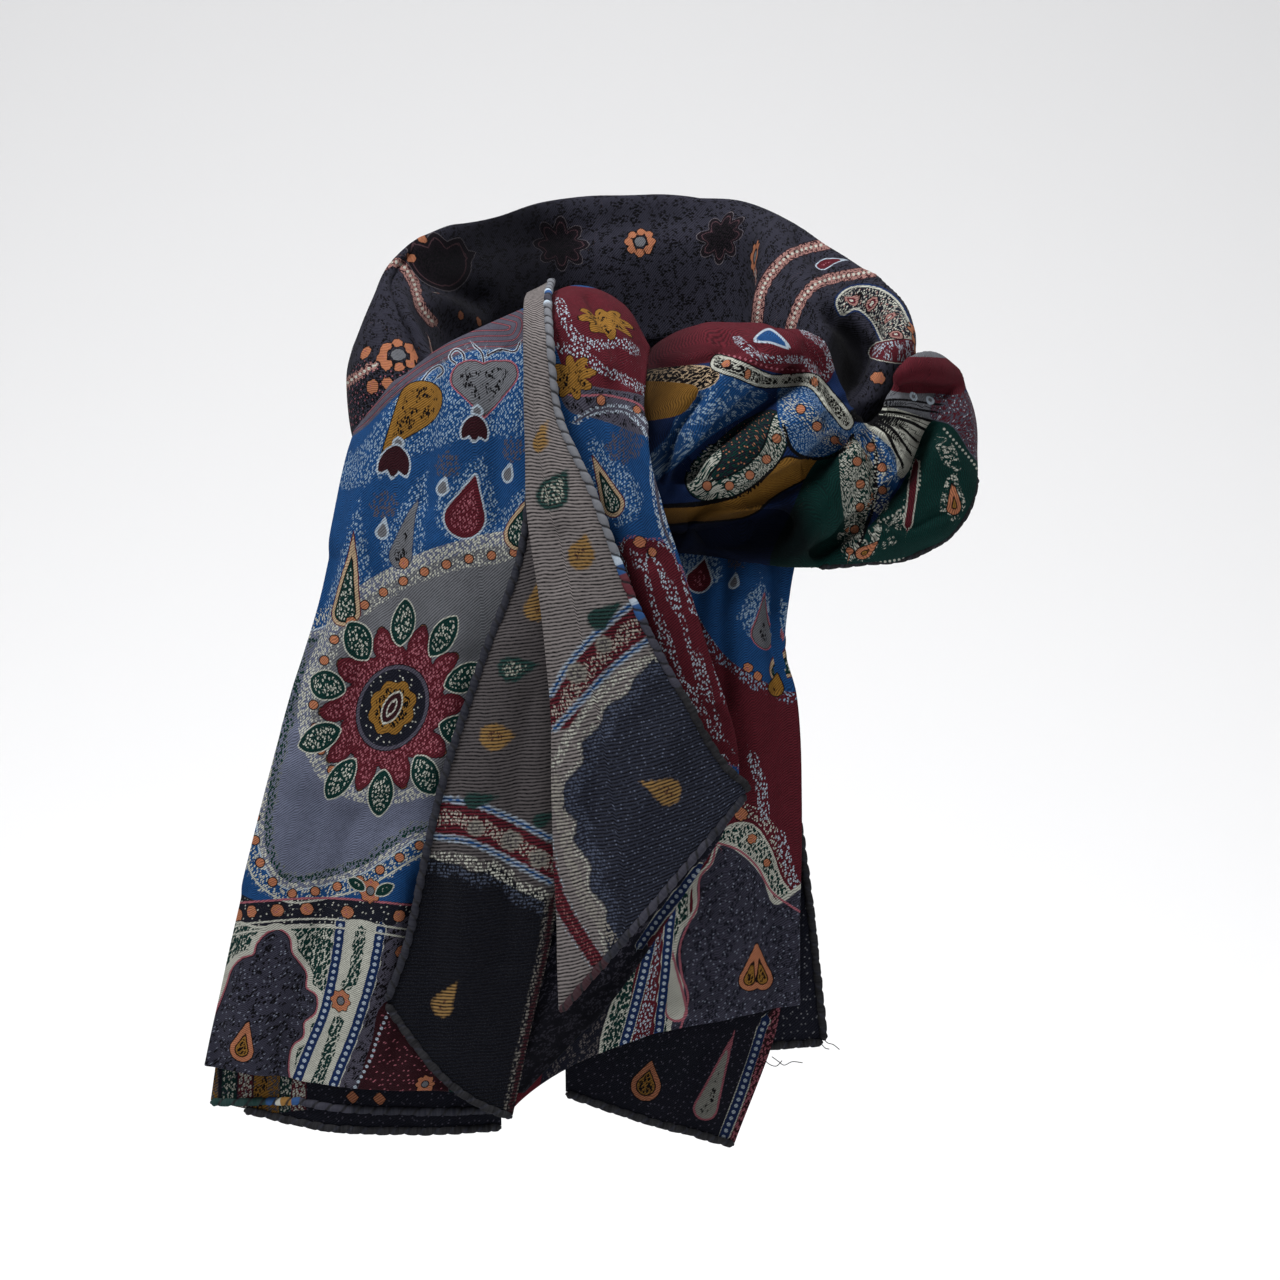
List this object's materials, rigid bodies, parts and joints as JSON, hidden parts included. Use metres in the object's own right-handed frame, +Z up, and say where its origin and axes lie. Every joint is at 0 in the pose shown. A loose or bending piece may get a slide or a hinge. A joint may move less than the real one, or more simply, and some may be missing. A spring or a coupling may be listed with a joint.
{
  "type": "stole",
  "caption": "Large printed twill stole wound once round the neck, one end drawn up through the loop and falling over the front, half of it turned wrong side out.",
  "frame": {"origin": "the nape, where the back of the loop lies on the neck: the point that the wearer holds it up by", "axes": "+Z up, +Y to the wearer's back, +X to the right as seen from the front"},
  "size_m": [0.3807, 0.2839, 0.4721],
  "materials": {
    "neck_loop": "soft printed twill, matt",
    "front_wrap": "soft printed twill, matt",
    "fall": "soft printed twill, matt",
    "fall_under_layer": "soft printed twill, matt",
    "flap": "soft printed twill, matt",
    "flap_under_half": "soft printed twill, matt",
    "tail": "soft printed twill, matt",
    "tail_corner": "soft printed twill, matt",
    "tail_back": "soft printed twill, matt"
  },
  "bodies": {
    "root": {"neck_loop": "neck_loop", "front_wrap": "front_wrap", "fall": "fall", "fall_under_layer": "fall_under_layer", "flap": "flap", "flap_under_half": "flap_under_half", "tail": "tail", "tail_corner": "tail_corner", "tail_back": "tail_back"}
  },
  "joints": []
}
